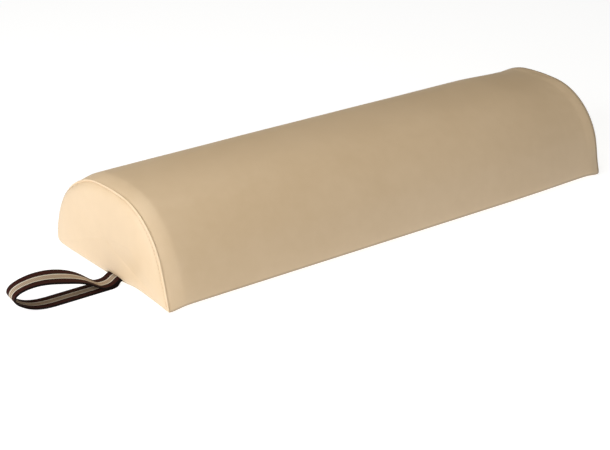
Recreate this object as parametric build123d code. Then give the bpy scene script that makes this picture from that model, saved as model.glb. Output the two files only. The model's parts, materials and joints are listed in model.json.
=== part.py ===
"""Half-round massage bolster: foam core, wadding, sewn cover with a base zip, and a webbing loop handle.

+X runs along the bolster, away from the handle. +Z is up. The origin is the centre of the flat base.
Millimetres throughout.
"""

import os
from math import cos, radians, tan

from build123d import *

# Cover, outside faces
LENGTH = 660.0
WIDTH = 236.0
HEIGHT = 108.5
SEAM_Z = 4.5
FLAT_HALF = 104.0
SIDE_LEAN = radians(17.0)
CROWN_R = 340.0
SHOULDER_R = 90.0
END_CROWN = [(0.0, 0.0), (10.0, 4.5), (28.0, 7.0)]
SKIN = 1.2
GAP = 0.2

# Filling
WADDING = 6.0
FOAM_INSET = SKIN + WADDING + 2 * GAP
FOAM_FLOOR = SKIN + GAP
FOAM_HALF = LENGTH / 2 - WADDING

# Piping over the two end arches
PIPE_R = 1.6
PIPE_BORE_R = 1.0
PIPE_CORD_R = 0.95
PIPE_INSET = 0.3

# Zip in the base
ZIP_Y = 56.0
ZIP_HALF = 270.0
ZIP_HEM = 8.0
CHANNEL_HALF = 8.0
LIP_Z = 5.9
TAPE_Z = 6.0
TAPE_T = 0.6
TAPE_OUT = 14.0
TAPE_IN = 1.0
COIL_Z = 4.2
COIL_T = 1.75
COIL_IN = 0.5
COIL_OUT = 3.1
COIL_HALF = ZIP_HALF - 8.0
STOP_LEN = 3.0

# Zip slider and pull
SLIDER_LEN = 11.0
SLIDER_HALF = 4.3
SLIDER_X = COIL_HALF - SLIDER_LEN
PLATE_T = 0.8
LOWER_Z = 3.0
UPPER_Z = 7.0
FLANGE_T = 0.8
FLANGE_TOP = 5.6
BRIDGE_T = 0.5
EAR_T = 0.8
EAR_IN = 1.7
EAR_LEN = 2.4
EAR_Z = 1.1
PIN_Z = 2.0
PIN_R = 0.5
EYE_R = 1.0
EYE_BORE_R = 0.58
PULL_LEN = 20.0
PULL_T = 1.2
PULL_NECK = 2.8
PULL_HEAD = 5.0

# Handle
STRAP_W = 25.0
STRAP_T = 1.6
STRAP_Y = -12.5
EXIT_X = -333.4
EXIT_Z = 5.2
EXIT_RUN = 8.0
PLY_PITCH = STRAP_T + GAP
LOOP_TIP_X = -465.0
TAIL_Z = EXIT_Z - PLY_PITCH
TAIL_LEN = 22.0
TAIL_SETBACK = 2.2
PATCH_X = 26.0
PATCH_Y = 40.0
PATCH_T = 0.8
BAR_T = 0.6


def section(inset=0.0, floor=0.0):
    """The half-round cross-section, drawn in from the outside of the cover by inset."""
    drop = inset / cos(SIDE_LEAN)

    def side(z):
        return WIDTH / 2 - (z - SEAM_Z) * tan(SIDE_LEAN) - drop

    knee = max(SEAM_Z + 0.4 * inset, floor + 0.5)
    foot = min(FLAT_HALF, side(knee) - 2.0)
    right = [(foot, floor), (side(knee), knee), (side(HEIGHT), HEIGHT)]
    left = [(-y, z) for y, z in reversed(right)]
    sides = make_face(Polyline(*right, *left, close=True))
    radius = CROWN_R - inset
    crown = Pos(0, HEIGHT - CROWN_R) * Circle(radius)
    blank = sides & crown
    shoulders = blank.vertices().sort_by(Axis.Y)[-2:]
    return fillet(shoulders, SHOULDER_R - inset)


def prism(face, half):
    """Extrude a cross-section to half each side of the middle."""
    return extrude(Plane.YZ * face, half, both=True)


def end_cap(inset, seat_x):
    """The crowned block beyond an end seam, on the +X side of seat_x."""
    rings = [
        Plane.YZ.offset(seat_x + rise) * section(inset + step, inset + step)
        for step, rise in END_CROWN
    ]
    return loft(rings, ruled=True)


def block(x0, x1, y0, y1, z0, z1):
    """A box between two corners."""
    return Pos((x0 + x1) / 2, (y0 + y1) / 2, (z0 + z1) / 2) * Box(x1 - x0, y1 - y0, z1 - z0)


def flip_x(shape):
    """The same shape at the other end."""
    return mirror(shape, about=Plane.YZ)


def pipe(radius, bore=0.0):
    """A tube over the arch of the -X end seam, from one bottom corner to the other."""
    outline = Plane.YZ.offset(-LENGTH / 2) * section(PIPE_INSET, 0.0)
    edges = [e for e in outline.edges() if e.center().Z > SEAM_Z + PIPE_R]
    path = Wire(edges)
    start = path @ 0
    across = Plane(origin=start, z_dir=path % 0)
    ring = Circle(radius)
    if bore:
        ring -= Circle(bore)
    return sweep(across * ring, path)


def end_panel():
    """The crowned skin that closes the -X end."""
    inside = end_cap(SKIN, LENGTH / 2 - SKIN)
    return flip_x(end_cap(0.0, LENGTH / 2) - inside)


def cover_ring():
    """The cover's wall between the two end seams, all round the cross-section."""
    return prism(section() - section(SKIN, SKIN), LENGTH / 2 - GAP)


def base_panel(side):
    """The base on one side of the zip, with its turned-up lip; side is -1 for front, 1 for rear."""
    split = ZIP_Y + side * GAP / 2
    edge = side * WIDTH
    near, far = sorted((split, edge))
    strip = cover_ring() & block(-LENGTH, LENGTH, near, far, -1.0, SEAM_Z - GAP / 2)
    channel = block(-ZIP_HALF, ZIP_HALF, ZIP_Y - CHANNEL_HALF, ZIP_Y + CHANNEL_HALF, -1.0, LIP_Z)
    lip_y = sorted((ZIP_Y + side * CHANNEL_HALF, ZIP_Y + side * (CHANNEL_HALF + SKIN)))
    lip = block(-ZIP_HALF, ZIP_HALF, *lip_y, 0.0, LIP_Z)
    return strip - channel + lip


def zip_tape(side):
    """One tape of the zip, sewn over the lip of its base panel."""
    y = sorted((ZIP_Y + side * TAPE_IN, ZIP_Y + side * TAPE_OUT))
    half = ZIP_HALF + ZIP_HEM
    return block(-half, half, *y, TAPE_Z, TAPE_Z + TAPE_T)


def zip_coil(side):
    """One half of the closed coil, under the inner edge of its tape."""
    y = sorted((ZIP_Y + side * COIL_IN, ZIP_Y + side * COIL_OUT))
    return block(-COIL_HALF, COIL_HALF, *y, COIL_Z, COIL_Z + COIL_T)


def zip_top_stops():
    """Two clamps that stop the slider at the closed end."""
    x0 = COIL_HALF + GAP
    stops = []
    for side in (-1, 1):
        y = sorted((ZIP_Y + side * COIL_IN, ZIP_Y + side * COIL_OUT))
        stops.append(block(x0, x0 + STOP_LEN, *y, COIL_Z, COIL_Z + COIL_T))
    return Compound(children=stops)


def zip_bottom_stop():
    """The staple across both halves at the open end."""
    x1 = -COIL_HALF - GAP
    return block(x1 - STOP_LEN, x1, ZIP_Y - COIL_OUT, ZIP_Y + COIL_OUT, COIL_Z, COIL_Z + COIL_T)


def zip_slider():
    """Two plates joined by a thin bridge, with side flanges and the ears and pin for the pull."""
    x0 = SLIDER_X - SLIDER_LEN / 2
    x1 = SLIDER_X + SLIDER_LEN / 2
    low = block(x0, x1, ZIP_Y - SLIDER_HALF, ZIP_Y + SLIDER_HALF, LOWER_Z, LOWER_Z + PLATE_T)
    high = block(x0, x1, ZIP_Y - SLIDER_HALF, ZIP_Y + SLIDER_HALF, UPPER_Z, UPPER_Z + PLATE_T)
    body = fillet(low.edges() | Axis.Z, 2.0) + fillet(high.edges() | Axis.Z, 2.0)
    bridge_y = BRIDGE_T / 2
    body += block(x1 - 4.0, x1, ZIP_Y - bridge_y, ZIP_Y + bridge_y, LOWER_Z, UPPER_Z + PLATE_T)
    for side in (-1, 1):
        flange = sorted((ZIP_Y + side * (SLIDER_HALF - FLANGE_T), ZIP_Y + side * SLIDER_HALF))
        body += block(x0 + 2.0, x1 - 2.0, *flange, LOWER_Z, FLANGE_TOP)
        ear = sorted((ZIP_Y + side * EAR_IN, ZIP_Y + side * (EAR_IN + EAR_T)))
        body += block(SLIDER_X - EAR_LEN / 2, SLIDER_X + EAR_LEN / 2, *ear, EAR_Z, LOWER_Z)
    pin = Pos(SLIDER_X, ZIP_Y, PIN_Z) * Rot(90, 0, 0) * Cylinder(PIN_R, 2 * EAR_IN + EAR_T)
    return body + pin


def zip_pull():
    """The flat tab on the slider's pin, lying back along the closed coil."""
    neck = PULL_NECK / 2
    head = PULL_HEAD / 2
    tab = make_face(Polyline((0, -neck), (0, neck), (-PULL_LEN, head), (-PULL_LEN, -head), close=True))
    tab = fillet(tab.vertices().sort_by(Axis.X)[:2], head * 0.8)
    tab = Pos(SLIDER_X, ZIP_Y, PIN_Z) * extrude(tab, PULL_T / 2, both=True)
    eye = Pos(SLIDER_X, ZIP_Y, PIN_Z) * Rot(90, 0, 0) * Cylinder(EYE_R, PULL_NECK)
    bore = Pos(SLIDER_X, ZIP_Y, PIN_Z) * Rot(90, 0, 0) * Cylinder(EYE_BORE_R, 2 * PULL_NECK)
    return tab + eye - bore


def handle_loop():
    """One length of webbing, out of the seam, along the table, round its tip and back over the top."""
    ground = STRAP_T / 2
    stacked = ground + PLY_PITCH
    route = [
        (EXIT_X, EXIT_Z - PLY_PITCH / 2),
        (EXIT_X - EXIT_RUN, ground),
        (LOOP_TIP_X + 21.0, ground),
        (LOOP_TIP_X, 13.0),
        (LOOP_TIP_X + 4.0, 23.0),
        (LOOP_TIP_X + 27.0, 29.3),
        (LOOP_TIP_X + 53.0, 29.3),
        (LOOP_TIP_X + 82.0, 19.0),
        (LOOP_TIP_X + 108.0, stacked),
        (EXIT_X - EXIT_RUN, stacked),
        (EXIT_X, EXIT_Z + PLY_PITCH / 2),
    ]
    radii = [12.0, 25.0, 7.5, 7.5, 25.0, 40.0, 40.0, 18.0, 12.0]
    ribbon = trace(FilletPolyline(*route, radius=radii), line_width=STRAP_T)
    front = STRAP_Y - STRAP_W / 2
    return extrude(Plane.XZ.offset(-front) * ribbon, -STRAP_W)


def handle_tails():
    """The two cut ends of the webbing, one on the other, inside the seam."""
    plies = []
    for z in (TAIL_Z, TAIL_Z + PLY_PITCH):
        x0 = EXIT_X + TAIL_SETBACK
        y0 = STRAP_Y - STRAP_W / 2
        plies.append(block(x0, x0 + TAIL_LEN, y0, y0 + STRAP_W, z, z + STRAP_T))
    return Compound(children=plies)


def patch_floor():
    """Height of the top of the tails."""
    return TAIL_Z + PLY_PITCH + STRAP_T + GAP


def handle_patch():
    """A backing strip over the tails."""
    z0 = patch_floor()
    x0 = -LENGTH / 2 + 1.0
    return block(x0, x0 + PATCH_X, STRAP_Y - PATCH_Y / 2, STRAP_Y + PATCH_Y / 2, z0, z0 + PATCH_T)


def handle_bartacks():
    """Two bars of dense thread across the tails, on the backing strip."""
    z0 = patch_floor() + PATCH_T + 0.05
    half = STRAP_W / 2 - 2.0
    bars = []
    for x in (-LENGTH / 2 + 7.0, -LENGTH / 2 + 19.0):
        bars.append(block(x - 1.0, x + 1.0, STRAP_Y - half, STRAP_Y + half, z0, z0 + BAR_T))
    return Compound(children=bars)


def reliefs():
    """The room that the zip and the handle's tails press into the filling."""
    reach = TAPE_OUT + 1.5
    zip_room = block(-ZIP_HALF - 12, ZIP_HALF + 12, ZIP_Y - reach, ZIP_Y + reach, -1.0, 9.5)
    half = PATCH_Y / 2 + 1.0
    tail_room = block(-LENGTH, -LENGTH / 2 + 30.0, STRAP_Y - half, STRAP_Y + half, -1.0, 9.5)
    return zip_room + tail_room


def foam_core():
    """The half-round block of foam."""
    return prism(section(FOAM_INSET, FOAM_FLOOR), FOAM_HALF) - reliefs()


def wadding_wrap():
    """Soft wadding over the arch and both ends of the foam, open at the base."""
    inset = SKIN + GAP
    cap = end_cap(inset, LENGTH / 2 - GAP - SKIN)
    body = prism(section(inset, FOAM_FLOOR), LENGTH / 2 - GAP - SKIN) + cap + flip_x(cap)
    hollow = prism(section(FOAM_INSET - GAP, -5.0), FOAM_HALF + GAP)
    return body - hollow - reliefs()


def save(name, shape):
    """Write one sub-part."""
    export_step(shape, f"parts/{name}.step")
    return shape


def main():
    os.makedirs("parts", exist_ok=True)
    groove = pipe(PIPE_R + 0.05)
    grooves = groove + flip_x(groove)
    above = block(-LENGTH, LENGTH, -WIDTH, WIDTH, SEAM_Z + GAP / 2, 2 * HEIGHT)
    slot = block(-LENGTH, 0, STRAP_Y - STRAP_W / 2 - 0.6, STRAP_Y + STRAP_W / 2 + 0.6, -1.0, 8.0)
    panel = end_panel() - groove
    skin = pipe(PIPE_R, PIPE_BORE_R)
    cord = pipe(PIPE_CORD_R)

    save("foam_core", foam_core())
    save("wadding_wrap", wadding_wrap() - grooves)
    save("top_panel", (cover_ring() & above) - grooves)
    save("end_panel_handle", panel - slot)
    save("end_panel_plain", flip_x(panel))
    save("base_panel_front", base_panel(-1) - grooves)
    save("base_panel_rear", base_panel(1) - grooves)
    save("piping_handle_end", skin)
    save("piping_plain_end", flip_x(skin))
    save("piping_cord_handle_end", cord)
    save("piping_cord_plain_end", flip_x(cord))
    save("zip_tape_front", zip_tape(-1))
    save("zip_tape_rear", zip_tape(1))
    save("zip_coil_front", zip_coil(-1))
    save("zip_coil_rear", zip_coil(1))
    save("zip_top_stops", zip_top_stops())
    save("zip_bottom_stop", zip_bottom_stop())
    save("zip_slider", zip_slider())
    save("zip_pull", zip_pull())
    save("handle_loop", handle_loop())
    save("handle_tails", handle_tails())
    save("handle_patch", handle_patch())
    save("handle_bartacks", handle_bartacks())


main()
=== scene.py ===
"""Looks of a half-round massage bolster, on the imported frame. Metres; +X runs away from the handle."""

import json
from math import atan2, cos, exp, pi, radians, sin, sqrt

import bmesh
import bpy
import numpy as np
from mathutils import Matrix, Vector, noise


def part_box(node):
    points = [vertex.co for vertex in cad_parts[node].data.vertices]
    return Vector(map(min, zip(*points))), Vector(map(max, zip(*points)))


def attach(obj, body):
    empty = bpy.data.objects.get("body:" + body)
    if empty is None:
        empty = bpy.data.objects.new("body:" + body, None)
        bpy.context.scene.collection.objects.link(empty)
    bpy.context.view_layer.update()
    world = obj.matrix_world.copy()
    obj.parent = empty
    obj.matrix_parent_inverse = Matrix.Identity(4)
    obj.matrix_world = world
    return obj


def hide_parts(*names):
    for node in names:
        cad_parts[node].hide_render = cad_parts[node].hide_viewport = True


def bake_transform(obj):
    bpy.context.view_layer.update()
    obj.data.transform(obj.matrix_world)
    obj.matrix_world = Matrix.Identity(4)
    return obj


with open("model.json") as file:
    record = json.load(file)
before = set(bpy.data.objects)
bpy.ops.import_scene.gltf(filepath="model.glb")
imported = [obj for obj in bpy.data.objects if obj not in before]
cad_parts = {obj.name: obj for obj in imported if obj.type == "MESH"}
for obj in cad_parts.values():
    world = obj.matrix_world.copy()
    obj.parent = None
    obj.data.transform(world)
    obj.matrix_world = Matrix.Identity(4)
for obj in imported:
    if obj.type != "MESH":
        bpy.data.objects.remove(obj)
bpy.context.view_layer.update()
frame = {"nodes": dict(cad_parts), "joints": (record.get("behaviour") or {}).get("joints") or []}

MM = 0.001

# Sizes read from the frame
TOP_LOW, TOP_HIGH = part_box("top_panel")
PIPE_LOW, PIPE_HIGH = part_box("piping_plain_end")
TAPE_LOW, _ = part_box("zip_tape_front")
_, COIL_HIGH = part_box("zip_coil_front")
COIL_REAR_LOW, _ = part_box("zip_coil_rear")
LOOP_LOW, LOOP_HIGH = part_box("handle_loop")
HALF_L = (PIPE_LOW.x + PIPE_HIGH.x) / 2
HALF_W = TOP_HIGH.y
HEIGHT = TOP_HIGH.z
SEAM_Z = TOP_LOW.z
ZIP_Y = (COIL_HIGH.y + COIL_REAR_LOW.y) / 2
TAPE_OVERHANG = 8 * MM
ZIP_END = -TAPE_LOW.x - TAPE_OVERHANG
STRAP_Y = (LOOP_LOW.y + LOOP_HIGH.y) / 2
STRAP_W = LOOP_HIGH.y - LOOP_LOW.y
HINGE = Vector(frame["joints"][0]["pos_m"])

# Shape of the half-round section
SIDE_LEAN = radians(17.0)
CROWN_R = 340 * MM
SHOULDER_R = 90 * MM

# Top panel: a DROP is how far the cover sinks, a REACH how far from the seam it fades out
SKIN = 1.2 * MM
SWELL = 1.0 * MM
SWELL_REACH = 6 * MM
END_DROP = 3.4 * MM
END_REACH = 18 * MM
FAR_DROP = 1.0 * MM
FAR_FLARE = 1.5 * MM
FAR_REACH = 15 * MM
FAR_FADE = 90 * MM
FAR_NARROW = 0.022
NARROW_FROM = 0.15
CORNER_DENT = 4.0 * MM
DENT_REACH = 27 * MM
ROLL = 0.5 * MM
ROLL_REACH = 1.4 * MM
REAR_SINK = 1.8 * MM
SINK_Y = 62 * MM
SINK_WIDTH = 32 * MM
SINK_LENGTH = 70 * MM
WOBBLE = 0.5 * MM
SHADE_REACH = 1.5 * MM
LOWEST = 0.1 * MM

# End panels
CENTRE_SHARE = 0.44
INNER_RINGS = 11
INNER_LIMIT = 0.97
EDGE_CROWN = 4.6 * MM
EDGE_REACH = 3.4 * MM
REAR_SHARE = 0.95
REAR_FROM = 20 * MM
REAR_SPAN = 120 * MM
SLOW_CROWN = 5.2 * MM
SLOW_REACH = 17 * MM
MOUTH_TOP = 6.7 * MM
MOUTH_FOOT = 3.1 * MM
MOUTH_REACH = 6 * MM
MOUTH_FOOT_REACH = 4 * MM
MOUTH_SIDE = 8 * MM

# Base panels
BASE_REACH = 13 * MM
BASE_EDGE_LIFT = 3 * MM
BASE_SEW_REACH = 7 * MM
END_SEAM_Z = 2.6 * MM
LIFT = 3.6 * MM
LIFT_Y = 58 * MM
LIFT_WIDTH = 26 * MM
END_BULGE = 2.6 * MM
BULGE_REACH = 10 * MM
CHANNEL_CLOSED = 0.15 * MM
CHANNEL_OPEN = 7.85 * MM
CHANNEL_MARGIN = 0.5 * MM
CHANNEL_CLOSE = 6 * MM
CHANNEL_DEEP = 7 * MM
BEND_AT = 14 * MM

# How far each place of the lip lies out over the channel and up into it, in millimetres
LIP = [(-6.0, 0.0), (-3.0, 0.0), (-1.3, 0.25), (-0.35, 1.0), (0.0, 2.3), (0.0, 4.0), (0.0, 5.7)]

# Bottom corners
EAR_INSET = 3 * MM
EAR_REACH = 9 * MM
EAR_DROP = 2.4 * MM
EAR_OUT = 1.4 * MM
REAR_EAR = Vector((3.5 * MM, -2.5 * MM, -0.8 * MM))

# Cloth simulation of the cover
PUFF_CAP = 2.0 * MM
PUFF_FRAMES = 20
PUFF_PRESSURE = 4.0

# Piping and stitches
PIPE_R = 1.3 * MM
PIPE_OUT = 0.8 * MM
PIPE_SINK = 0.5 * MM
FAR_PIPE_SINK = 1.0 * MM
STITCH_PITCH = 4 * MM
STITCH_LENGTH = 2.7 * MM
STITCH_MARGIN = 3 * MM
STITCH_ROUND = ((0.0, -0.25, 0.5), (0.2, 0.05, 0.9), (0.5, 0.15, 1.0), (0.8, 0.05, 0.9), (1.0, -0.25, 0.5))
THREAD_R = 0.2 * MM

# Zip coils
COIL_PITCH = 2.0 * MM
WIRE_R = 0.3 * MM

# The wadding under the cover
WAD_INSET = 2.2 * MM
WAD_SEAM_INSET = 2.5 * MM
WAD_END = 3 * MM
WAD_LOWEST = 2 * MM
WAD_THICKNESS = 3 * MM

# The handle: its thickness, and the route of its middle line in X and Z, in millimetres
STRAP_T = 1.6 * MM
ROUTE = [
    (-331.0, 5.85), (-333.6, 5.85), (-336.4, 5.45), (-339.2, 4.5), (-342.4, 3.4), (-346.2, 2.7),
    (-350.6, 2.45), (-355.5, 2.75), (-359.6, 4.5), (-364.0, 7.4), (-370.0, 11.3), (-376.0, 14.6),
    (-384.0, 18.0), (-392.0, 20.8), (-401.0, 23.4), (-410.0, 25.5), (-420.0, 27.1), (-430.0, 27.8),
    (-438.0, 27.5), (-446.0, 26.4), (-453.5, 24.2), (-458.4, 20.8), (-459.8, 16.4), (-457.2, 12.1),
    (-452.5, 8.4), (-446.5, 5.0), (-439.0, 2.4), (-430.0, 1.1), (-418.0, 0.82), (-400.0, 0.82),
    (-380.0, 0.82), (-362.0, 0.82), (-350.0, 0.82), (-343.0, 0.82), (-339.6, 1.1), (-337.2, 2.3),
    (-334.8, 3.8), (-332.8, 4.1), (-331.0, 4.1),
]
TURN_START = 2 * MM
TURN_LENGTH = 17 * MM
DRIFT_TIP = 0.46
DRIFT_TIP_LENGTH = 45 * MM
LOWER_DRIFT = 5.5 * MM
UPPER_DRIFT = 4.0 * MM
UPPER_DRIFT_END = 0.352
UPPER_DRIFT_LENGTH = 34 * MM
ROLL_ANGLE = radians(-16.0)
ROLL_SHARE = 0.275
ROLL_SPREAD = 0.13
TIP_SKEW = 4 * MM
TIP_SHARE = 0.5
TIP_SPREAD = 0.1

# Steps away from a seam, where the mesh is finer
SEAM_STEPS = [s * MM for s in (0.0, 1.2, 2.5, 4.5, 8.0, 12.0, 15.5, 18.0, 21.0)]
GRID = 8 * MM


# ---------------------------------------------------------------- camera, light and floor

def make_camera():
    """The view that the object is shown from: azimuth -38.5 degrees, 23 degrees above the table."""
    data = bpy.data.cameras.new("camera")
    data.sensor_width = 36.0
    data.lens = 94.43
    cam = bpy.data.objects.new("camera", data)
    right = Vector((0.7858, -0.6183, 0.0119))
    up = Vector((0.2361, 0.3177, 0.9183))
    back = Vector((-0.5716, -0.7188, 0.3957))
    turn = Matrix((right, up, back)).transposed().to_4x4()
    cam.matrix_world = Matrix.Translation((-1.1535, -1.3751, 0.7481)) @ turn
    data.clip_start = 0.05
    data.clip_end = 60.0
    bpy.context.scene.collection.objects.link(cam)
    bpy.context.scene.camera = cam


def area_light(name, place, target, size, power, colour):
    """A square soft box at place, turned to target."""
    data = bpy.data.lights.new(name, "AREA")
    data.size = size
    data.energy = power
    data.color = colour
    lamp = bpy.data.objects.new(name, data)
    aim = Vector(target) - Vector(place)
    lamp.matrix_world = Matrix.Translation(place) @ aim.to_track_quat("-Z", "Y").to_matrix().to_4x4()
    bpy.context.scene.collection.objects.link(lamp)


def make_studio():
    """A pale floor that glows a little, a dim surround and three soft boxes."""
    scene = bpy.context.scene
    scene.view_settings.view_transform = "Standard"
    world = bpy.data.worlds.new("studio")
    world.use_nodes = True
    background = world.node_tree.nodes["Background"]
    background.inputs["Color"].default_value = (1.0, 1.0, 1.0, 1.0)
    background.inputs["Strength"].default_value = 0.04
    scene.world = world
    area_light("left", (-1.7, 0.1, 0.75), (-0.2, 0, 0.05), 0.9, 15.3, (0.97, 1.0, 1.09))
    area_light("left_front", (-1.4, -1.0, 0.8), (-0.1, 0, 0.05), 0.9, 12.9, (1.0, 1.0, 1.0))
    area_light("above", (-0.2, 0.1, 1.9), (0, 0, 0.05), 1.2, 13.8, (1.05, 1.0, 0.88))
    bm = bmesh.new()
    bmesh.ops.create_grid(bm, x_segments=1, y_segments=1, size=12.0)
    bmesh.ops.translate(bm, verts=bm.verts, vec=(0, 0, -0.0003))
    mesh = bpy.data.meshes.new("floor")
    bm.to_mesh(mesh)
    bm.free()
    floor = bpy.data.objects.new("floor", mesh)
    scene.collection.objects.link(floor)
    mat = bpy.data.materials.new("floor")
    mat.use_nodes = True
    bsdf = mat.node_tree.nodes["Principled BSDF"]
    bsdf.inputs["Base Color"].default_value = (0.35, 0.35, 0.35, 1)
    bsdf.inputs["Roughness"].default_value = 0.9
    bsdf.inputs["Emission Color"].default_value = (1, 1, 1, 1)
    bsdf.inputs["Emission Strength"].default_value = 0.83
    mesh.materials.append(mat)


# ---------------------------------------------------------------- materials

class Nodes:
    """A node material, built with short calls."""

    def __init__(self, name):
        self.mat = bpy.data.materials.new(name)
        self.mat.use_nodes = True
        self.tree = self.mat.node_tree
        self.bsdf = self.tree.nodes["Principled BSDF"]
        self.place = self.add("ShaderNodeTexCoord").outputs["Object"]

    def add(self, kind, **values):
        node = self.tree.nodes.new(kind)
        for key, value in values.items():
            setattr(node, key, value)
        return node

    def put(self, value, socket):
        if isinstance(value, bpy.types.NodeSocket):
            self.tree.links.new(value, socket)
        else:
            socket.default_value = value

    def noise(self, scale, detail=3.0, rough=0.5):
        node = self.add("ShaderNodeTexNoise")
        self.put(self.place, node.inputs["Vector"])
        node.inputs["Scale"].default_value = scale
        node.inputs["Detail"].default_value = detail
        node.inputs["Roughness"].default_value = rough
        return node.outputs["Fac"]

    def cells(self, scale):
        node = self.add("ShaderNodeTexVoronoi", feature="F1")
        self.put(self.place, node.inputs["Vector"])
        node.inputs["Scale"].default_value = scale
        return node.outputs["Distance"]

    def math(self, operation, a, b=0.0, c=0.0):
        node = self.add("ShaderNodeMath", operation=operation)
        for socket, value in zip(node.inputs, (a, b, c)):
            self.put(value, socket)
        return node.outputs[0]

    def remap(self, value, low, high, to_low, to_high):
        node = self.add("ShaderNodeMapRange")
        for socket, v in zip(node.inputs, (value, low, high, to_low, to_high)):
            self.put(v, socket)
        return node.outputs[0]

    def mix(self, factor, a, b):
        node = self.add("ShaderNodeMix", data_type="RGBA")
        self.put(factor, node.inputs[0])
        self.put(a, node.inputs[6])
        self.put(b, node.inputs[7])
        return node.outputs[2]

    def attribute(self, name):
        return self.add("ShaderNodeAttribute", attribute_name=name).outputs["Fac"]

    def bands(self, value, stops):
        """Bands of plain colour, each from its stop to the next."""
        node = self.add("ShaderNodeValToRGB")
        node.color_ramp.interpolation = "CONSTANT"
        while len(node.color_ramp.elements) < len(stops):
            node.color_ramp.elements.new(0.5)
        for element, (at, colour) in zip(node.color_ramp.elements, stops):
            element.position = at
            element.color = colour
        self.put(value, node.inputs[0])
        return node.outputs[0]

    def bump(self, height, strength, distance, base=None):
        node = self.add("ShaderNodeBump")
        node.inputs["Strength"].default_value = strength
        node.inputs["Distance"].default_value = distance
        self.put(height, node.inputs["Height"])
        if base is not None:
            self.put(base, node.inputs["Normal"])
        return node.outputs[0]

    def finish(self, colour, roughness, normal=None, **plain):
        self.put(colour, self.bsdf.inputs["Base Color"])
        self.put(roughness, self.bsdf.inputs["Roughness"])
        if normal is not None:
            self.put(normal, self.bsdf.inputs["Normal"])
        for key, value in plain.items():
            self.bsdf.inputs[key.replace("_", " ")].default_value = value
        return self.mat


def rgb(red, green, blue):
    """A colour from its screen values, 0 to 255."""
    linear = []
    for v in (red, green, blue):
        v /= 255
        linear.append(v / 12.92 if v <= 0.04045 else ((v + 0.055) / 1.055) ** 2.4)
    return (*linear, 1.0)


def leather(name, light, dark, shine=0.44):
    """Soft coated cloth: fine pebble grain, faint clouding, and painted shade in the seams."""
    n = Nodes(name)
    cloud = n.remap(n.noise(5.0, 3.0), 0.35, 0.65, 0.0, 1.0)
    fine = n.remap(n.noise(70.0, 4.0), 0.3, 0.7, 0.0, 1.0)
    tone = n.math("MULTIPLY_ADD", cloud, 0.7, n.math("MULTIPLY", fine, 0.3))
    colour = n.mix(tone, dark, light)
    # Painted shade: the 'seam' attribute darkens the colour towards 0.4 of the dark tone along the seams,
    # where shade falls.
    shade = n.remap(n.attribute("seam"), 0.1, 1.0, 0.0, 0.8)
    colour = n.mix(shade, colour, tuple(c * 0.4 for c in dark[:3]) + (1.0,))
    pebble = n.cells(950.0)
    pits = n.noise(2600.0, 2.0)
    height = n.math("MULTIPLY_ADD", pits, 0.35, pebble)
    soft = n.bump(n.noise(38.0, 3.0), 0.25, 0.6 * MM)
    normal = n.bump(height, 0.22, 0.16 * MM, soft)
    rough = n.remap(fine, 0.0, 1.0, shine - 0.05, shine + 0.07)
    return n.finish(colour, rough, normal, Specular_IOR_Level=0.42)


def cloth(name, light, dark, pitch, rough=0.85):
    """Plain weave: two crossed rows of threads."""
    n = Nodes(name)
    split = n.add("ShaderNodeSeparateXYZ")
    n.put(n.place, split.inputs[0])
    turn = 2 * pi / pitch
    across = n.math("SINE", n.math("MULTIPLY", split.outputs[0], turn))
    along = n.math("SINE", n.math("MULTIPLY", n.math("ADD", split.outputs[1], split.outputs[2]), turn))
    weave = n.remap(n.math("MULTIPLY", across, along), -1.0, 1.0, 0.0, 1.0)
    wear = n.noise(40.0, 4.0)
    tone = n.math("MULTIPLY_ADD", weave, 0.6, n.math("MULTIPLY", wear, 0.4))
    normal = n.bump(weave, 0.5, 0.2 * MM)
    return n.finish(n.mix(tone, dark, light), rough, normal)


def foam_stuff(name, light, dark, scale):
    """Open pores and a faint clouding."""
    n = Nodes(name)
    pores = n.cells(scale)
    tone = n.remap(pores, 0.0, 0.8, 0.0, 1.0)
    colour = n.mix(n.math("MULTIPLY_ADD", n.noise(30.0), 0.4, n.math("MULTIPLY", tone, 0.6)), dark, light)
    return n.finish(colour, 0.95, n.bump(pores, 0.6, 0.6 * MM))


def metal(name, tint):
    """Plated die-cast metal with fine scuffs."""
    n = Nodes(name)
    scuff = n.noise(900.0, 5.0, 0.7)
    cloud = n.noise(120.0, 3.0)
    dull = tuple(c * 0.7 for c in tint[:3]) + (1.0,)
    rough = n.remap(scuff, 0.3, 0.7, 0.22, 0.42)
    return n.finish(n.mix(cloud, dull, tint), rough, n.bump(scuff, 0.15, 0.05 * MM), Metallic=1.0)


def nylon(name, light, dark):
    """Moulded filament, slightly glossy."""
    n = Nodes(name)
    cloud = n.noise(300.0, 3.0)
    rough = n.remap(cloud, 0.3, 0.7, 0.3, 0.5)
    return n.finish(n.mix(cloud, dark, light), rough, n.bump(cloud, 0.1, 0.05 * MM))


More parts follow.
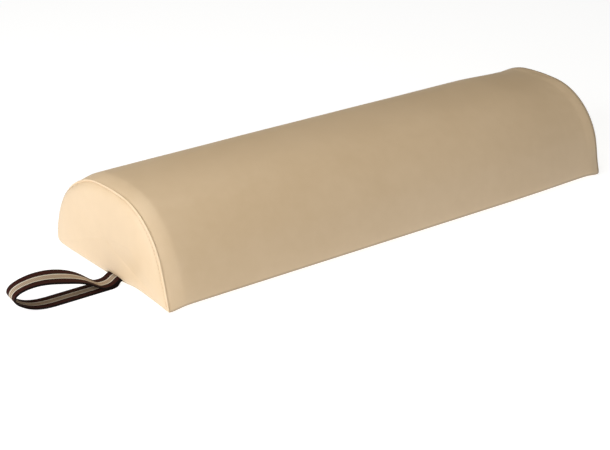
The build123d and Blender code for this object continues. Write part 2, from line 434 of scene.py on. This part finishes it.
def webbing(name):
    """Striped webbing: brown edges, cream lines and a ribbed grey-cream centre."""
    n = Nodes(name)
    across = n.attribute("across")
    along = n.attribute("along")
    black = rgb(8, 3, 3)
    brown = rgb(62, 27, 19)
    dark = rgb(20, 7, 5)
    cream = rgb(248, 236, 214)
    grey = rgb(192, 170, 144)
    half = [(0.0, black), (0.06, brown), (0.29, dark), (0.325, cream), (0.375, grey)]
    other = [(0.61, cream), (0.665, dark), (0.70, brown), (0.94, black)]
    colour = n.bands(across, half + other)
    rib = n.math("SINE", n.math("MULTIPLY", along, 2 * pi / (1.7 * MM)))
    lean = n.math("MULTIPLY_ADD", across, 6 * MM, along)
    twill = n.math("SINE", n.math("MULTIPLY", lean, 2 * pi / (1.1 * MM)))
    middle = n.math("LESS_THAN", n.math("ABSOLUTE", n.math("SUBTRACT", across, 0.5)), 0.17)
    weave = n.math("ADD", n.math("MULTIPLY", rib, middle),
                   n.math("MULTIPLY", twill, n.math("SUBTRACT", 1.0, middle)))
    weave = n.remap(weave, -1.0, 1.0, 0.0, 1.0)
    fuzz = n.noise(1800.0, 3.0)
    deep = n.mix(n.math("MULTIPLY_ADD", weave, 0.55, n.math("MULTIPLY", fuzz, 0.45)), dark, colour)
    colour = n.mix(0.62, colour, deep)
    normal = n.bump(n.math("MULTIPLY_ADD", fuzz, 0.3, weave), 0.7, 0.35 * MM)
    return n.finish(colour, 0.8, normal, Specular_IOR_Level=0.12)


# ---------------------------------------------------------------- the half-round section

def section_arcs():
    """Lengths of the straight side, the shoulder arc and the crown arc, which meet smoothly, the
    foot and direction of the side, and the centres of the two arcs."""
    foot = np.array([HALF_W, SEAM_Z])
    rise = np.array([-sin(SIDE_LEAN), cos(SIDE_LEAN)])
    inward = np.array([-cos(SIDE_LEAN), -sin(SIDE_LEAN)])
    crown_c = np.array([0.0, HEIGHT - CROWN_R])
    start = foot + inward * SHOULDER_R - crown_c
    b = start @ rise
    c = start @ start - (CROWN_R - SHOULDER_R) ** 2
    side = -b + sqrt(b * b - c)
    shoulder_c = foot + inward * SHOULDER_R + rise * side
    lean = atan2(*(shoulder_c - crown_c))
    bend = pi / 2 - SIDE_LEAN - lean
    return side, bend * SHOULDER_R, lean * CROWN_R, foot, rise, shoulder_c, crown_c


SIDE_LEN, SHOULDER_LEN, CROWN_LEN, FOOT, RISE, SHOULDER_C, CROWN_C = section_arcs()
HALF_ARCH = SIDE_LEN + SHOULDER_LEN + CROWN_LEN
ARCH = 2 * HALF_ARCH


def arch(run):
    """Point (y, z) and outward normal at a distance run from the front seam, over the top."""
    side = -1.0 if run <= HALF_ARCH else 1.0
    s = min(run, ARCH - run)
    if s < SIDE_LEN:
        y, z = FOOT + RISE * s
        ny, nz = cos(SIDE_LEAN), sin(SIDE_LEAN)
    elif s < SIDE_LEN + SHOULDER_LEN:
        turn = SIDE_LEAN + (s - SIDE_LEN) / SHOULDER_R
        ny, nz = cos(turn), sin(turn)
        y, z = SHOULDER_C + SHOULDER_R * np.array([ny, nz])
    else:
        lean = (HALF_ARCH - s) / CROWN_R
        ny, nz = sin(lean), cos(lean)
        y, z = CROWN_C + CROWN_R * np.array([ny, nz])
    return side * y, z, side * ny, nz


def stations(length, steps, spacing):
    """Distances from 0 to length, finer near both ends."""
    inner = length - 2 * steps[-1]
    count = max(1, round(inner / spacing))
    middle = [steps[-1] + inner * k / count for k in range(1, count)]
    return steps + middle + [length - s for s in reversed(steps)]


def smooth(t):
    """0 to 1 with level ends."""
    t = min(1.0, max(0.0, t))
    return t * t * (3 - 2 * t)


def ears(p):
    """Bottom corners drawn down and out into small points, except the near rear one, which is
    drawn in; nothing goes below the table."""
    for sx in (-1, 1):
        for sy in (-1, 1):
            corner = Vector((sx * HALF_L, sy * (HALF_W - EAR_INSET), SEAM_Z))
            pull = exp(-(p - corner).length_squared / (2 * EAR_REACH ** 2))
            if sx < 0 < sy:
                p = p + REAR_EAR * pull
            else:
                p = p + Vector((sx * 0.5 * EAR_OUT, sy * EAR_OUT, -EAR_DROP)) * pull
    return Vector((p.x, p.y, max(p.z, LOWEST)))


def settle(p):
    """The slimmer far end."""
    narrow = FAR_NARROW * smooth((p.x - NARROW_FROM) / (HALF_L - NARROW_FROM))
    return Vector((p.x, p.y * (1 - narrow), p.z))


def wobble(x, y, z):
    """A slow, fixed variation of the padding."""
    return WOBBLE * noise.noise(Vector((x * 7.0, y * 9.0, z * 9.0 + 4.0)))


def near_strap(y):
    """1 where the strap leaves the bottom seam, 0 away from it."""
    return 1.0 - smooth((abs(y - STRAP_Y) - STRAP_W / 2) / MOUTH_SIDE)


def top_raw(x, run):
    """The padded arch, drawn in at its seams and rounded off towards both ends."""
    y, z, ny, nz = arch(run)
    to_end = HALF_L - abs(x)
    to_seam = min(run, ARCH - run)
    if x < 0:
        drop = END_DROP * max(0.0, 1 - to_end / END_REACH) ** 1.2
    else:
        flare = FAR_FLARE * min(1.0, to_end / FAR_REACH)
        drop = (FAR_DROP + flare) * (1 - smooth((to_end - FAR_REACH) / FAR_FADE))
        dent = max(0.0, 1 - to_end / FAR_REACH) ** 1.2 * exp(-(run / DENT_REACH) ** 2)
        drop += CORNER_DENT * dent
    drop += ROLL * exp(-to_seam / ROLL_REACH)
    inside = (1 - exp(-to_end / SWELL_REACH)) * (1 - exp(-to_seam / SWELL_REACH))
    drop -= (SWELL + wobble(x, y, z)) * inside
    drop += REAR_SINK * exp(-((y - SINK_Y) / SINK_WIDTH) ** 2 - (x + HALF_L) / SINK_LENGTH)
    return settle(Vector((x, y - ny * drop, z - nz * drop)))


def top_point(x, run):
    """A point of the arch with its corners drawn out."""
    return ears(top_raw(x, run))


def seam_shade(distance, depth=1.0):
    """How much painted shade a seam puts on a point, 0 to 1."""
    return depth * exp(-(distance / SHADE_REACH) ** 2)


def top_panel_points():
    """Rows of points along the bolster, from the front seam over the top to the rear seam, and the
    painted seam shade on them; the near arch seam, under its piping with a painted highlight, gets none."""
    xs = [-HALF_L + s for s in stations(2 * HALF_L, SEAM_STEPS, GRID)]
    runs = stations(ARCH, SEAM_STEPS, GRID)
    points = [[top_point(x, run) for x in xs] for run in runs]
    shades = []
    for run in runs:
        # Painted shade along both long seams, and at 0.7 along the far arch seam.
        long_seam = seam_shade(min(run, ARCH - run))
        shades.append([max(long_seam, seam_shade(HALF_L - x, 0.7)) for x in xs])
    return points, shades


def channel_half(x):
    """Half the width of the gap over the zip, which closes to a plain seam past its ends."""
    past_end = (abs(x) - ZIP_END - CHANNEL_MARGIN) / CHANNEL_CLOSE
    return CHANNEL_CLOSED + CHANNEL_OPEN * (1 - smooth(past_end))


def end_seam_z(x, y):
    """Height of an end's bottom seam; at the handle end it lifts a little in front of the strap."""
    lift = LIFT * exp(-((y + LIFT_Y) / LIFT_WIDTH) ** 2) if x < 0 else 0.0
    return END_SEAM_Z + lift


def base_flat(x, y):
    """The base, rolled up to its seams, before its long edge is brought to the top panel's."""
    to_end = HALF_L - abs(x)
    to_side = HALF_W - abs(y)
    at_end = end_seam_z(x, y) * max(0.0, 1 - to_end / BASE_REACH) ** 2
    at_side = BASE_EDGE_LIFT * max(0.0, 1 - to_side / BASE_REACH) ** 2
    lift = (at_end ** 3 + at_side ** 3) ** (1 / 3)
    bulge = END_BULGE * (1 - (y / HALF_W) ** 4) * exp(-to_end / BULGE_REACH)
    return settle(Vector((x + (bulge if x > 0 else -bulge), y, lift)))


def base_raw(x, y):
    """The base with its long edges sewn to the top panel's."""
    side = 1 if y > 0 else -1
    seam = top_raw(x, ARCH if side > 0 else 0.0)
    foot = base_flat(x, side * HALF_W)
    return base_flat(x, y) + (seam - foot) * exp(-(HALF_W - abs(y)) / BASE_SEW_REACH)


def base_point(x, y, extra=0.0):
    """A point of the base, with the strap's mouth, its corners drawn out and its lip."""
    p = base_raw(x, y)
    if x < 0:
        mouth = MOUTH_FOOT - end_seam_z(x, y)
        p.z += near_strap(y) * mouth * exp(-(HALF_L + x) / MOUTH_FOOT_REACH)
    return ears(p + Vector((0, 0, extra)))


def base_rows(side):
    """The y places of one base panel from its long seam to the bend at the zip."""
    edge = side * HALF_W
    near = ZIP_Y + side * BEND_AT
    span = abs(near - edge)
    count = round((span - SEAM_STEPS[-1]) / GRID)
    inner = [SEAM_STEPS[-1] + (span - SEAM_STEPS[-1]) * k / count for k in range(1, count)]
    return [edge - side * d for d in SEAM_STEPS + inner]


def base_panel_points(side):
    """Rows from the long seam to the zip, then down the lip into the channel, with their painted seam
    shade.
    """
    xs = [-HALF_L + s for s in stations(2 * HALF_L, SEAM_STEPS, GRID)]
    points, shades = [], []
    for y in base_rows(side):
        points.append([base_point(x, y) for x in xs])
        # Painted shade along the long seam, and at 0.6 towards both end seams.
        long_seam = seam_shade(HALF_W - abs(y))
        shades.append([max(long_seam, seam_shade(HALF_L - abs(x), 0.6)) for x in xs])
    for out, up in LIP:
        row = []
        for x in xs:
            depth = 0.45 + 0.55 * smooth((channel_half(x) - CHANNEL_CLOSED) / CHANNEL_DEEP)
            y = ZIP_Y + side * (channel_half(x) - out * MM)
            row.append(base_point(x, y, up * depth * MM))
        points.append(row)
        # Painted shade in the zip channel: the lip darkens as it goes up into it.
        shades.append([max(seam_shade(HALF_L - abs(x)), min(1.0, up / 3.0) * 0.8) for x in xs])
    return points, shades


def end_loop(sx):
    """The seam round an end panel: over the arch from front to rear, then back along the base."""
    over = [top_raw(sx * HALF_L, run) for run in stations(ARCH, SEAM_STEPS, GRID)]
    rear = base_rows(1)
    front = base_rows(-1)
    under = [base_raw(sx * HALF_L, y) for y in rear[1:] + [ZIP_Y] + front[:0:-1]]
    return over, under


def end_crown(to_arch, to_base, y):
    """How far an end panel stands out, from its distances to the two seams; fullest at the rear."""
    edge = (1 - exp(-to_arch / EDGE_REACH)) * (1 - exp(-to_base / EDGE_REACH))
    slow = (1 - exp(-to_arch / SLOW_REACH)) * (1 - exp(-to_base / SLOW_REACH))
    rear = 1 + REAR_SHARE * smooth((y + REAR_FROM) / REAR_SPAN)
    return EDGE_CROWN * edge * rear + SLOW_CROWN * slow


def end_panel_points(sx):
    """Rings from the seam to the middle, crowned outwards, with their painted seam shade."""
    over, under = end_loop(sx)
    rim = over + under
    line = np.array([(p.y, p.z) for p in over])
    foot = sorted((p.y, p.z) for p in [over[0]] + under + [over[-1]])
    foot_y = [y for y, _ in foot]
    foot_z = [z for _, z in foot]
    centre = Vector((sx * HALF_L, 0.0, CENTRE_SHARE * HEIGHT))
    rings, shades = [], []
    steps = SEAM_STEPS[:7]
    for k in range(len(steps) + INNER_RINGS):
        ring, painted_ring_shades = [], []
        for n, p in enumerate(rim):
            span = (centre - p).length
            f = steps[min(k, len(steps) - 1)] / span
            if k >= len(steps):
                f += (INNER_LIMIT - f) * (k - len(steps) + 1) / INNER_RINGS
            q = p.lerp(centre, f)
            to_arch = float(np.hypot(line[:, 0] - q.y, line[:, 1] - q.z).min())
            to_base = max(0.0, q.z - float(np.interp(q.y, foot_y, foot_z)))
            rise = end_crown(to_arch, to_base, q.y) + wobble(q.x, q.y, q.z) * smooth(f * 3)
            if sx < 0:
                mouth = MOUTH_TOP - end_seam_z(sx, q.y)
                q.z += near_strap(q.y) * mouth * exp(-to_base / MOUTH_REACH)
            ring.append(ears(q + Vector((sx * rise, 0, 0))))
            # Painted shade round the rim: 0.6 along the base seam, 0.3 at the near arch, 1.0 at the far
            # arch, a painted dark line.
            depth = 0.6 if n >= len(over) else 0.3 if sx < 0 else 1.0
            painted_ring_shades.append(seam_shade(f * span, depth))
        rings.append(ring)
        shades.append(painted_ring_shades)
    return rings, shades


# ---------------------------------------------------------------- meshes

def mesh_object(name, verts, faces, values=None):
    """A smooth-shaded mesh with optional point attributes."""
    mesh = bpy.data.meshes.new(name)
    mesh.from_pydata([tuple(v) for v in verts], [], faces)
    mesh.validate()
    for key, data in (values or {}).items():
        attribute = mesh.attributes.new(key, "FLOAT", "POINT")
        attribute.data.foreach_set("value", np.array(data, np.float32))
    for polygon in mesh.polygons:
        polygon.use_smooth = True
    mesh.update()
    obj = bpy.data.objects.new(name, mesh)
    bpy.context.scene.collection.objects.link(obj)
    return obj


def grid_faces(rows, cols, wrap=False):
    """Quads between neighbouring rows; wrap joins the last column to the first."""
    faces = []
    for r in range(rows - 1):
        for c in range(cols if wrap else cols - 1):
            d = (c + 1) % cols
            faces.append((r * cols + c, r * cols + d, (r + 1) * cols + d, (r + 1) * cols + c))
    return faces


def flat(rows):
    """The items of all the rows, in one list."""
    return [p for row in rows for p in row]


def align_normals(mesh):
    """All the faces turned the same way round."""
    bm = bmesh.new()
    bm.from_mesh(mesh)
    bmesh.ops.recalc_face_normals(bm, faces=bm.faces)
    bm.to_mesh(mesh)
    bm.free()


def shell(name, points, faces, shade, material, thickness=SKIN):
    """A cover panel: a skin of real thickness, turned inwards, and subdivided once."""
    # The 'seam' attribute carries the painted seam shade that the leather material reads.
    obj = mesh_object(name, points, faces, {"seam": shade})
    align_normals(obj.data)
    middle = Vector((0, 0, HEIGHT / 2))
    outward = sum((p.center - middle).dot(p.normal) * p.area for p in obj.data.polygons)
    if outward < 0:
        obj.data.flip_normals()
    obj.data.materials.append(material)
    solid = obj.modifiers.new("thickness", "SOLIDIFY")
    solid.thickness = thickness
    solid.offset = -1.0
    fine = obj.modifiers.new("fine", "SUBSURF")
    fine.levels = 1
    fine.render_levels = 1
    return obj


def rod_faces(rows, cols):
    """Quads round a closed outline swept through rows places, and a cap at each end."""
    faces = grid_faces(rows, cols, wrap=True)
    faces.append(tuple(range(cols))[::-1])
    faces.append(tuple((rows - 1) * cols + k for k in range(cols)))
    return faces


def tube(name, path, radius, sides, material, taper=0):
    """A round tube along a list of points; its first and last few rings can narrow."""
    verts = []
    count = len(path)
    side_axis = None
    for i, p in enumerate(path):
        ahead = path[min(i + 1, count - 1)] - path[max(i - 1, 0)]
        ahead.normalize()
        if side_axis is None:
            side_axis = ahead.orthogonal().normalized()
        side_axis = (side_axis - ahead * side_axis.dot(ahead)).normalized()
        other = ahead.cross(side_axis)
        near_end = min(i, count - 1 - i)
        r = radius * (1.0 if not taper else min(1.0, 0.35 + 0.65 * near_end / taper))
        for k in range(sides):
            a = 2 * pi * k / sides
            verts.append(p + (side_axis * cos(a) + other * sin(a)) * r)
    obj = mesh_object(name, verts, rod_faces(count, sides))
    obj.data.materials.append(material)
    return obj


def weld(parts):
    """One mesh from several grids, with their shared seam points joined, and each grid's indices."""
    index, verts, faces, maps = {}, [], [], []
    for points, quads in parts:
        own = []
        for p in points:
            key = tuple(round(c * 1e5) for c in p)
            if key not in index:
                index[key] = len(verts)
                verts.append(Vector(p))
            own.append(index[key])
        maps.append(own)
        for quad in quads:
            face = tuple(dict.fromkeys(own[i] for i in quad))
            if len(face) > 2:
                faces.append(face)
    return verts, faces, maps


# ---------------------------------------------------------------- the cover

make_camera()
make_studio()

cover_mat = leather("cover_leather", rgb(222, 197, 163), rgb(213, 187, 151))
# The piping leather is the cover leather painted a shade lighter: a painted highlight on the raised bead.
piping_painted_highlight_mat = leather("piping_leather_painted_highlight", rgb(228, 203, 169), rgb(218, 192, 156), 0.42)

top_rows, top_shade = top_panel_points()
near_rings, near_shade = end_panel_points(-1)
far_rings, far_shade = end_panel_points(1)
front_rows, front_shade = base_panel_points(-1)
rear_rows, rear_shade = base_panel_points(1)


def ring_faces(rings):
    """Quads between the rings of an end panel, and one cap in the middle."""
    cols = len(rings[0])
    faces = grid_faces(len(rings), cols, wrap=True)
    last = (len(rings) - 1) * cols
    faces.append(tuple(last + k for k in range(cols)))
    return faces


def puff(top_grid, near_grid, far_grid):
    """The sewn cover blown up a little against its seams, as a stuffed cover is, up to a cap."""
    grids = (top_grid, near_grid, far_grid)
    parts = [(flat(top_grid), grid_faces(len(top_grid), len(top_grid[0])))]
    parts += [(flat(grid), ring_faces(grid)) for grid in (near_grid, far_grid)]
    verts, faces, maps = weld(parts)
    seam = set()
    cols = len(top_grid[0])
    for i, own in enumerate(maps[0]):
        row, col = divmod(i, cols)
        if row in (0, len(top_grid) - 1) or col in (0, cols - 1):
            seam.add(own)
    for grid, own in zip((near_grid, far_grid), maps[1:]):
        seam.update(own[:len(grid[0])])
    obj = mesh_object("cover_cloth", verts, faces)
    align_normals(obj.data)
    pins = obj.vertex_groups.new(name="pins")
    pins.add(sorted(seam), 1.0, "REPLACE")
    cloth_mod = obj.modifiers.new("cloth", "CLOTH")
    wanted = cloth_mod.settings
    wanted.quality = 6
    wanted.mass = 0.3
    wanted.tension_stiffness = 40
    wanted.compression_stiffness = 40
    wanted.shear_stiffness = 20
    wanted.bending_stiffness = 2.0
    wanted.vertex_group_mass = "pins"
    wanted.use_pressure = True
    wanted.uniform_pressure_force = PUFF_PRESSURE
    wanted.effector_weights.gravity = 0.0
    cloth_mod.collision_settings.use_collision = False
    cloth_mod.point_cache.frame_start = 1
    cloth_mod.point_cache.frame_end = PUFF_FRAMES
    scene = bpy.context.scene
    for frame_number in range(1, PUFF_FRAMES + 1):
        scene.frame_set(frame_number)
    seen = obj.evaluated_get(bpy.context.evaluated_depsgraph_get())
    moved = [v.co.copy() for v in seen.data.vertices]
    scene.frame_set(1)
    bpy.data.objects.remove(obj, do_unlink=True)
    for grid, own in zip(grids, maps):
        width = len(grid[0])
        for i, k in enumerate(own):
            step = moved[k] - verts[k]
            step *= 1 / (1 + step.length / PUFF_CAP)
            p = verts[k] + step
            row, col = divmod(i, width)
            grid[row][col] = Vector((p.x, p.y, max(p.z, LOWEST)))


puff(top_rows, near_rings, far_rings)

for node, slot, rows, shade in (
    ("top_panel", "leather_top", top_rows, top_shade),
    ("end_panel_handle", "leather_end", near_rings, near_shade),
    ("end_panel_plain", "leather_end", far_rings, far_shade),
    ("base_panel_front", "leather_base", front_rows, front_shade),
    ("base_panel_rear", "leather_base", rear_rows, rear_shade),
):
    quads = ring_faces(rows) if slot == "leather_end" else grid_faces(len(rows), len(rows[0]))
    piece = shell(node + "_cover", flat(rows), quads, flat(shade), cover_mat)
    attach(piece, "cushion")
    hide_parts(node)


# ---------------------------------------------------------------- piping and stitches

def piping(sx, name, nodes):
    """The piped seam over one end arch, its ends tucked into the bottom corners; the far one is
    darkened with painted shade and lies deeper."""
    path = []
    for run in stations(ARCH, SEAM_STEPS, 5 * MM):
        edge = top_point(sx * HALF_L, run)
        _, _, ny, nz = arch(run)
        sink = PIPE_SINK if sx < 0 else FAR_PIPE_SINK
        path.append(edge + Vector((sx * PIPE_OUT, -ny * sink, -nz * sink)))
    obj = tube(name, path, PIPE_R, 12, piping_painted_highlight_mat, taper=3)
    # Painted shade: the far piping gets the full 'seam' value, a painted dark line along the far arch.
    tone = obj.data.attributes.new("seam", "FLOAT", "POINT")
    tone.data.foreach_set("value", [0.0 if sx < 0 else 1.0] * len(obj.data.vertices))
    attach(obj, "cushion")
    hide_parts(*nodes)


piping(-1, "piping_handle_end_cover", ["piping_handle_end", "piping_cord_handle_end"])
piping(1, "piping_plain_end_cover", ["piping_plain_end", "piping_cord_plain_end"])


# ---------------------------------------------------------------- the handle

def strap_line(count):
    """Evenly spaced points on a smooth curve through the strap's route, in the XZ plane, and the
    length of the curve."""
    fine = []
    pts = [Vector((x * MM, z * MM)) for x, z in ROUTE]
    for i in range(len(pts) - 1):
        a = pts[max(i - 1, 0)]
        b = pts[i]
        c = pts[i + 1]
        d = pts[min(i + 2, len(pts) - 1)]
        for k in range(12):
            t = k / 12
            fine.append(0.5 * (2 * b + (c - a) * t + (2 * a - 5 * b + 4 * c - d) * t * t
                               + (3 * b - a - 3 * c + d) * t ** 3))
    fine.append(pts[-1])
    run = [0.0]
    for p, q in zip(fine, fine[1:]):
        run.append(run[-1] + (q - p).length)
    total = run[-1]
    xs = np.interp(np.linspace(0, total, count), run, [p.x for p in fine])
    zs = np.interp(np.linspace(0, total, count), run, [p.y for p in fine])
    return [Vector((x, z)) for x, z in zip(xs, zs)], total


def strap_drift(x, share):
    """How far the loop has slid sideways: its lower strand lies nearer the front."""
    turn = min(1.0, max(0.0, (HINGE.x + TURN_START - x) / TURN_LENGTH))
    out = sin(turn * pi / 2) ** 1.4
    back = smooth((x + DRIFT_TIP) / DRIFT_TIP_LENGTH)
    fade = 1 - smooth((-UPPER_DRIFT_END - x) / UPPER_DRIFT_LENGTH)
    reach = LOWER_DRIFT if share > 0.5 else UPPER_DRIFT * fade
    return -reach * out * back


def strap_section():
    """The webbing's outline: places across, 0 to 1, and heights, -1 to 1, round its edges."""
    over = [(k / 14, 1.0) for k in range(1, 14)]
    edge = [(0.997, 0.75), (1.0, 0.0), (0.997, -0.75)]
    under = [(k / 14, -1.0) for k in range(13, 0, -1)]
    back = [(0.003, -0.75), (0.0, 0.0), (0.003, 0.75)]
    return over + edge + under + back


def make_strap():
    """The loop, swept along its route, with a slight roll in the middle of its upper strand."""
    count = 210
    line, total = strap_line(count)
    outline = strap_section()
    verts, across, along = [], [], []
    for i, p in enumerate(line):
        ahead = (line[min(i + 1, count - 1)] - line[max(i - 1, 0)]).normalized()
        normal = Vector((ahead.y, 0, -ahead.x))
        share = i / (count - 1)
        roll = ROLL_ANGLE * exp(-((share - ROLL_SHARE) / ROLL_SPREAD) ** 2)
        skew = TIP_SKEW * exp(-((share - TIP_SHARE) / TIP_SPREAD) ** 2)
        for w, h in outline:
            offset = (w - 0.5) * STRAP_W
            y = STRAP_Y + strap_drift(p.x, share) + offset * cos(roll)
            lift = offset * sin(roll)
            q = Vector((p.x + (w - 0.5) * skew, y, p.y)) - normal * (h * STRAP_T / 2 + lift)
            verts.append(q)
            across.append(w)
            along.append(share * total)
    faces = rod_faces(count, len(outline))
    obj = mesh_object("handle_loop_webbing", verts, faces, {"across": across, "along": along})
    obj.data.materials.append(webbing("webbing"))
    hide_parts("handle_loop")
    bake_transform(obj)


make_strap()


# ---------------------------------------------------------------- stitches

def stitch_row(name, line, out, material):
    """Small stitches along a line of points, each a short thread with sunken ends."""
    run = [0.0]
    for p, q in zip(line, line[1:]):
        run.append(run[-1] + (q - p).length)
    along = [[c[axis] for c in line] for axis in range(3)]

    def at(distance):
        return Vector([float(np.interp(distance, run, values)) for values in along])

    verts, faces = [], []
    sides = 6
    start = STITCH_MARGIN
    while start + STITCH_LENGTH < run[-1] - STITCH_MARGIN:
        first = len(verts)
        ahead = (at(start + STITCH_LENGTH) - at(start)).normalized()
        across = ahead.cross(out).normalized()
        for share, rise, size in STITCH_ROUND:
            middle = at(start + share * STITCH_LENGTH) + out * rise * MM
            for k in range(sides):
                a = 2 * pi * k / sides
                verts.append(middle + (across * cos(a) + out * sin(a)) * THREAD_R * size)
        faces += [tuple(first + i for i in face) for face in rod_faces(len(STITCH_ROUND), sides)]
        start += STITCH_PITCH
    obj = mesh_object(name, verts, faces)
    obj.data.materials.append(material)
    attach(obj, "cushion")


thread_mat = cloth("stitch_thread", rgb(224, 200, 166), rgb(196, 170, 134), 0.5 * MM, 0.6)
over_count = len(stations(ARCH, SEAM_STEPS, GRID))
for side_name, rings, sx in (("handle", near_rings, -1), ("plain", far_rings, 1)):
    stitch_row("stitches_" + side_name + "_end", rings[2][1:over_count - 1], Vector((sx, 0, 0)), thread_mat)


# ---------------------------------------------------------------- filling and zip

def coil(name, node, material):
    """One row of the zip: a flattened helix of filament in the space of its node."""
    low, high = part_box(node)
    middle_y = (low.y + high.y) / 2
    middle_z = (low.z + high.z) / 2
    half_y = (high.y - low.y) / 2 - WIRE_R
    half_z = (high.z - low.z) / 2 - WIRE_R
    points = 8
    turns = int((high.x - low.x - 2 * WIRE_R) / COIL_PITCH)
    path = []
    for i in range(turns * points + 1):
        a = 2 * pi * i / points
        x = low.x + WIRE_R + COIL_PITCH * i / points
        path.append(Vector((x, middle_y + half_y * cos(a), middle_z + half_z * sin(a))))
    obj = tube(name, path, WIRE_R, 5, material)
    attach(obj, "cushion")
    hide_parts(node)


coil_mat = nylon("zip_coil", rgb(158, 130, 96), rgb(128, 104, 76))
coil("zip_coil_front_helix", "zip_coil_front", coil_mat)
coil("zip_coil_rear_helix", "zip_coil_rear", coil_mat)


def hidden_wadding():
    """The wadding, drawn inside the finished cover."""
    runs = stations(ARCH, SEAM_STEPS, GRID)
    rows = []
    for run, row in zip(runs, top_rows):
        _, _, ny, nz = arch(run)
        inset = WAD_INSET + WAD_SEAM_INSET * exp(-min(run, ARCH - run) / SWELL_REACH)
        inner = []
        for p in row:
            x = max(-HALF_L + WAD_END, min(HALF_L - WAD_END, p.x))
            inner.append(Vector((x, p.y - ny * inset, max(WAD_LOWEST, p.z - nz * inset))))
        rows.append(inner)
    fluff = foam_stuff("wadding", rgb(240, 240, 236), rgb(222, 222, 216), 400.0)
    quads = grid_faces(len(rows), len(rows[0]))
    obj = shell("wadding_arch", flat(rows), quads, flat(top_shade), fluff, WAD_THICKNESS)
    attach(obj, "cushion")
    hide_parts("wadding_wrap")


hidden_wadding()

cloth_tape = cloth("zip_tape", rgb(150, 122, 88), rgb(120, 96, 68), 0.7 * MM)
metal_zip = metal("zip_metal", rgb(196, 192, 184))
dressing = {
    "foam_core": foam_stuff("foam", rgb(236, 226, 178), rgb(220, 206, 152), 700.0),
    "zip_tape_front": cloth_tape,
    "zip_tape_rear": cloth_tape,
    "zip_top_stops": metal_zip,
    "zip_bottom_stop": metal_zip,
    "zip_slider": metal_zip,
    "zip_pull": metal_zip,
    "handle_tails": cloth("tail_webbing", rgb(110, 70, 50), rgb(60, 34, 26), 1.2 * MM),
    "handle_patch": cloth("lining", rgb(214, 208, 190), rgb(190, 184, 166), 0.5 * MM),
    "handle_bartacks": cloth("bar_thread", rgb(196, 176, 140), rgb(160, 140, 106), 0.4 * MM, 0.6),
}
for node, mat in dressing.items():
    obj = frame["nodes"][node]
    obj.data.materials.clear()
    obj.data.materials.append(mat)
